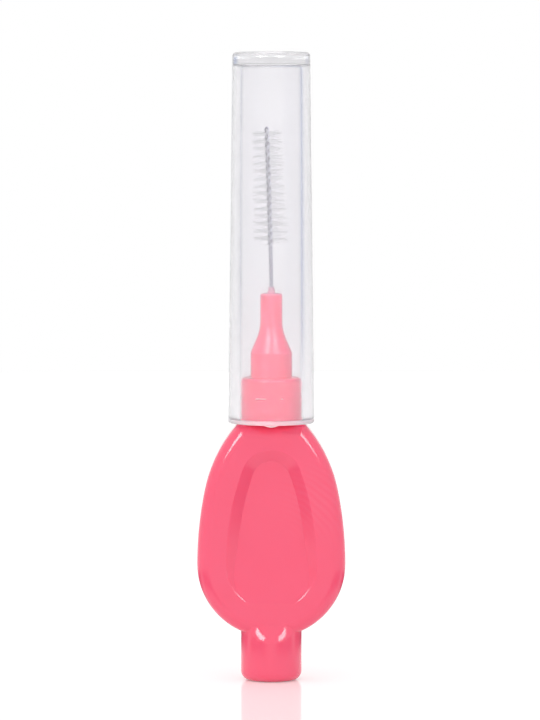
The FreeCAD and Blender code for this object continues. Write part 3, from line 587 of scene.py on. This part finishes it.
def axis_at(height):
    """Centre line of the twist, which leans over as it leaves the nozzle."""
    share = max(height - nozzle_top, 0) / (wire_tip - nozzle_top)
    return Vector((-TIP_LEAN * share ** LEAN_POWER, 0, height))


def outward_at(height):
    """Direction from the centre line to the first strand."""
    angle = 2 * math.pi * turns_at(height)
    return Vector((math.cos(angle), math.sin(angle), 0))


def strand_at(height, side):
    """Point of one of the two strands."""
    return axis_at(height) + outward_at(height) * (side * between(strand_radii, height))


print("turns in all:", round(turns_at(wire_tip), 2))

# %% Wire path
POINTS_PER_TURN = 20
LOOP_STEPS = 10

steps = round(turns_at(wire_tip) * POINTS_PER_TURN)
heights = [wire_foot + (wire_tip - wire_foot) * i / steps for i in range(steps + 1)]
tip_out, tip_up = outward_at(wire_tip) * TIP_STRAND, Vector((0, 0, TIP_STRAND))
loop_angles = [math.pi * i / LOOP_STEPS for i in range(1, LOOP_STEPS)]
loop = [axis_at(wire_tip) + tip_out * math.cos(a) + tip_up * math.sin(a) for a in loop_angles]
wire_points = [strand_at(h, 1) for h in heights] + loop + [strand_at(h, -1) for h in reversed(heights)]
print("wire:", len(wire_points), "points")

# %% [markdown]
# ## Drawn stainless steel
#
# Drawing pulls the wire through a die, which leaves it bright with a fine unevenness. In the twist, light
# reaches the proud outer side of a strand and hardly gets into the groove between the two. An attribute
# stores how far out each point of the mesh lies, and the base colour is painted from it: painted shade
# where that is little, in the groove, and painted light on the proud side.

# %% Wire finish
# The die's own lines are finer still. At this size the grain breaks up the shine without showing as dots
DIE_GRAIN = 0.06 * MM
SHINIEST, DULLEST = 0.22, 0.42
GROOVE_SHADE_GREY, PROUD_LIT_GREY = linear("#565460"), linear("#B0AEB8")


def drawn_steel():
    """Drawn stainless steel: painted light on its proud side, painted shade in the grooves, a little dull
    from the die.
    """
    material, tree = start_material("drawn stainless steel")
    place = add(tree, "ShaderNodeTexCoord").outputs["Object"]
    grain = add(tree, "ShaderNodeTexNoise", {
        "Vector": place, "Scale": 1 / DIE_GRAIN, "Detail": 3}).outputs["Fac"]
    dull = add(tree, "ShaderNodeMapRange", {"Value": grain, "To Min": SHINIEST, "To Max": DULLEST}).outputs[0]
    proud = add(tree, "ShaderNodeAttribute", attribute_name="proud").outputs["Fac"]
    # The base colour is painted shade in the groove and painted light on the proud side
    painted_light_and_shade = add(tree, "ShaderNodeMix", {
        0: proud, 6: GROOVE_SHADE_GREY, 7: PROUD_LIT_GREY}, data_type="RGBA").outputs[2]
    surface = add(tree, "ShaderNodeBsdfPrincipled", {
        "Base Color": painted_light_and_shade, "Metallic": 1, "Roughness": dull,
    })
    add(tree, "ShaderNodeOutputMaterial", {"Surface": surface.outputs[0]})
    return material


steel = drawn_steel()
print("wire finish:", steel.name)

# %% Wire piece
WIRE_RADIUS = 0.13 * MM
SECTION_STEPS = 2
GROOVE_FLOOR, GROOVE_TOP = 0.12 * MM, 0.25 * MM

wire_curve = bpy.data.curves.new("wire_path", "CURVE")
wire_curve.dimensions = "3D"
wire_curve.bevel_depth = WIRE_RADIUS
wire_curve.bevel_resolution = SECTION_STEPS
wire_curve.use_fill_caps = True
spline = wire_curve.splines.new("POLY")
spline.points.add(len(wire_points) - 1)
for point, place in zip(spline.points, wire_points):
    point.co = (*place, 1)
path = new_object("wire_path", wire_curve)
wire_mesh = bpy.data.meshes.new_from_object(path.evaluated_get(bpy.context.evaluated_depsgraph_get()))
bpy.data.objects.remove(path)
wire_mesh.materials.clear()
wire_mesh.materials.append(steel)
wire_mesh.shade_smooth()
# How far out each point lies, which the finish turns into painted shade in the groove
proud = wire_mesh.attributes.new("proud", "FLOAT", "POINT")
for vertex, value in zip(wire_mesh.vertices, proud.data):
    out = (vertex.co - axis_at(vertex.co.z)).length
    value.value = min(max((out - GROOVE_FLOOR) / (GROOVE_TOP - GROOVE_FLOOR), 0), 1)
wire = new_object("twisted_wire", wire_mesh)
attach(wire, "brush")
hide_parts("wire")
print("wire:", len(wire_mesh.polygons), "faces")

# %% [markdown]
# ## The bristles
#
# Hundreds of nylon filaments lie across the wire, each nipped at its middle. Where the wire turns, they
# turn with it, so their ends draw two screw lines. A particle system could scatter hairs, but not in that
# order. A Geometry Nodes tree makes one straight filament, copies it and then moves every point by rule:
# up the wire by its number, round by the twist, out by its reach, and a little up, down or aside at its
# ends, because no real filament stays straight. Its sizes are named inputs, so they are easy to change.

# %% Bristle tree: inputs
BRISTLE_SIZES = {
    "Base height": bristle_base,
    "Top height": bristle_top,
    "Start angle": 2 * math.pi * turns_at(bristle_base) + math.pi / 2,
    "Turns": HEAD_TURNS,
    "Reach at base": 2.4 * MM,
    "Reach at tip": 2.05 * MM,
    "Least reach share": 0.86,
    "Fan angle": math.radians(9),
    "Curl share": 0.16,
    "Sway share": 0.12,
    "Filament radius": 0.025 * MM,
    "Lean": TIP_LEAN,
    "Lean start": nozzle_top,
    "Lean end": wire_tip,
    "Lean power": LEAN_POWER,
}
BRISTLE_COUNTS = {"Filaments": 340, "Points": 8, "Sides": 4, "Seed": 5}

tree = bpy.data.node_groups.new("bristles on a twist", "GeometryNodeTree")
for name in BRISTLE_SIZES:
    tree.interface.new_socket(name, in_out="INPUT", socket_type="NodeSocketFloat")
for name in BRISTLE_COUNTS:
    tree.interface.new_socket(name, in_out="INPUT", socket_type="NodeSocketInt")
tree.interface.new_socket("Material", in_out="INPUT", socket_type="NodeSocketMaterial")
tree.interface.new_socket("Geometry", in_out="OUTPUT", socket_type="NodeSocketGeometry")
given = add(tree, "NodeGroupInput").outputs
print("bristle tree:", len(tree.interface.items_tree), "sockets")

# %% Bristle tree: copies of one filament, and how far up each one lies
line = add(tree, "GeometryNodeCurvePrimitiveLine", {"Start": (-1, 0, 0), "End": (1, 0, 0)})
even = add(tree, "GeometryNodeResampleCurve", {"Curve": line.outputs[0], "Count": given["Points"]})
copies = add(tree, "GeometryNodeDuplicateElements", {
    "Geometry": even.outputs[0], "Amount": given["Filaments"]}, domain="SPLINE").outputs
number = copies["Duplicate Index"]
position = add(tree, "GeometryNodeInputPosition").outputs[0]
along = add(tree, "ShaderNodeSeparateXYZ", {0: position}).outputs["X"]
middle = add(tree, "ShaderNodeMath", {0: number, 1: 0.5}, operation="ADD").outputs[0]
share = add(tree, "ShaderNodeMath", {0: middle, 1: given["Filaments"]}, operation="DIVIDE").outputs[0]
height = add(tree, "ShaderNodeMapRange", {
    "Value": share, "To Min": given["Base height"], "To Max": given["Top height"]}).outputs[0]
print("bristle tree:", BRISTLE_COUNTS["Filaments"], "filaments")

# %% Bristle tree: random numbers, one per filament for its fan, one per half for its reach and bends
# A Random Value node has its plain numbers at inputs 2 and 3 and at output 1
half = add(tree, "ShaderNodeMath", {0: along, 1: 0}, operation="GREATER_THAN").outputs[0]
half_number = add(tree, "ShaderNodeMath", {0: number, 1: 2, 2: half}, operation="MULTIPLY_ADD").outputs[0]
seeds = [
    add(tree, "ShaderNodeMath", {0: given["Seed"], 1: i}, operation="ADD").outputs[0] for i in range(4)]
fan_least = add(tree, "ShaderNodeMath", {0: given["Fan angle"], 1: -1}, operation="MULTIPLY").outputs[0]
fan = add(tree, "FunctionNodeRandomValue", {
    2: fan_least, 3: given["Fan angle"], "ID": number, "Seed": seeds[0]}).outputs[1]
length, curl, sway = [
    add(tree, "FunctionNodeRandomValue", {2: least, 3: 1, "ID": half_number, "Seed": seed}).outputs[1]
    for least, seed in zip((given["Least reach share"], -1, -1), seeds[1:])]
print("bristle tree: seed", BRISTLE_COUNTS["Seed"])

# %% Bristle tree: the arm of each point, and how far its end is bent up and aside
full = add(tree, "ShaderNodeMapRange", {
    "Value": share, "To Min": given["Reach at base"], "To Max": given["Reach at tip"]}).outputs[0]
reach = add(tree, "ShaderNodeMath", {0: full, 1: length}, operation="MULTIPLY").outputs[0]
arm = add(tree, "ShaderNodeMath", {0: along, 1: reach}, operation="MULTIPLY").outputs[0]
square = add(tree, "ShaderNodeMath", {0: along, 1: along}, operation="MULTIPLY").outputs[0]
bow = add(tree, "ShaderNodeMath", {0: square, 1: reach}, operation="MULTIPLY").outputs[0]
offsets = []
for bend, name in ((curl, "Curl share"), (sway, "Sway share")):
    amount = add(tree, "ShaderNodeMath", {0: bend, 1: given[name]}, operation="MULTIPLY").outputs[0]
    offsets.append(add(tree, "ShaderNodeMath", {0: amount, 1: bow}, operation="MULTIPLY").outputs[0])
lifted = add(tree, "ShaderNodeMath", {0: height, 1: offsets[0]}, operation="ADD").outputs[0]
flat = add(tree, "ShaderNodeCombineXYZ", {"X": arm, "Y": offsets[1], "Z": lifted}).outputs[0]
print("bristle tree: reach", BRISTLE_SIZES["Reach at base"], "to", BRISTLE_SIZES["Reach at tip"], "m")

# %% Bristle tree: round the axis with the twist, and over with the lean of the wire
twist = add(tree, "ShaderNodeMath", {0: given["Turns"], 1: 2 * math.pi}, operation="MULTIPLY").outputs[0]
wound = add(tree, "ShaderNodeMath", {
    0: share, 1: twist, 2: given["Start angle"]}, operation="MULTIPLY_ADD").outputs[0]
angle = add(tree, "ShaderNodeMath", {0: wound, 1: fan}, operation="ADD").outputs[0]
turned = add(tree, "ShaderNodeVectorRotate", {"Vector": flat, "Angle": angle}, rotation_type="Z_AXIS")
leaned = add(tree, "ShaderNodeMapRange", {
    "Value": height, "From Min": given["Lean start"], "From Max": given["Lean end"]}).outputs[0]
lean_share = add(tree, "ShaderNodeMath", {0: leaned, 1: given["Lean power"]}, operation="POWER").outputs[0]
lean = add(tree, "ShaderNodeMath", {0: lean_share, 1: given["Lean"]}, operation="MULTIPLY").outputs[0]
aside = add(tree, "ShaderNodeMath", {0: lean, 1: -1}, operation="MULTIPLY").outputs[0]
shift = add(tree, "ShaderNodeCombineXYZ", {"X": aside}).outputs[0]
laid = add(tree, "GeometryNodeSetPosition", {
    "Geometry": copies["Geometry"], "Position": turned.outputs[0], "Offset": shift}).outputs[0]
print("bristle tree:", HEAD_TURNS, "turns")

# %% Bristle tree: thickness and finish
section = add(tree, "GeometryNodeCurvePrimitiveCircle", {
    "Resolution": given["Sides"], "Radius": given["Filament radius"]}).outputs[0]
tubes = add(tree, "GeometryNodeCurveToMesh", {"Curve": laid, "Profile Curve": section, "Fill Caps": True})
smooth = add(tree, "GeometryNodeSetShadeSmooth", {"Geometry": tubes.outputs[0]})
real = add(tree, "GeometryNodeRealizeInstances", {"Geometry": smooth.outputs[0]})
finished = add(tree, "GeometryNodeSetMaterial", {
    "Geometry": real.outputs[0], "Material": given["Material"]}).outputs[0]
add(tree, "NodeGroupOutput", {0: finished})
print("bristle tree:", len(tree.nodes), "nodes")

# %% [markdown]
# ## Extruded nylon
#
# A nylon filament is nearly colourless and thinner than a hair, so it hides little of what is behind it.
# At this picture size a filament is less than a pixel wide. A low alpha keeps the bundle as faint as it
# looks under the cap. An empty mesh carries the tree as a modifier until its result is read off.

# %% Bristle piece
def nylon():
    """Extruded nylon filament: nearly colourless, with a soft bright edge."""
    material, tree = start_material("extruded nylon filament")
    surface = add(tree, "ShaderNodeBsdfPrincipled", {
        "Base Color": linear("#D2D0D6"), "Roughness": 0.35, "IOR": 1.53, "Transmission Weight": 0.6,
        "Alpha": 0.22,
    })
    add(tree, "ShaderNodeOutputMaterial", {"Surface": surface.outputs[0]})
    return material


bristle_values = {**BRISTLE_SIZES, **BRISTLE_COUNTS, "Material": nylon()}
grower = new_object("bristle_grower", bpy.data.meshes.new("bristle_grower"))
modifier = grower.modifiers.new("bristles", "NODES")
modifier.node_group = tree
for item in tree.interface.items_tree:
    if item.name in bristle_values:
        modifier[item.identifier] = bristle_values[item.name]
bristle_mesh = bpy.data.meshes.new_from_object(grower.evaluated_get(bpy.context.evaluated_depsgraph_get()))
bpy.data.objects.remove(grower)
bristles = new_object("nylon_bristles", bristle_mesh)
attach(bristles, "brush")
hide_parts(*[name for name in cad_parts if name.startswith("bristle_turn")])
print("bristles:", len(bristle_mesh.polygons), "faces", [m.name for m in bristle_mesh.materials])
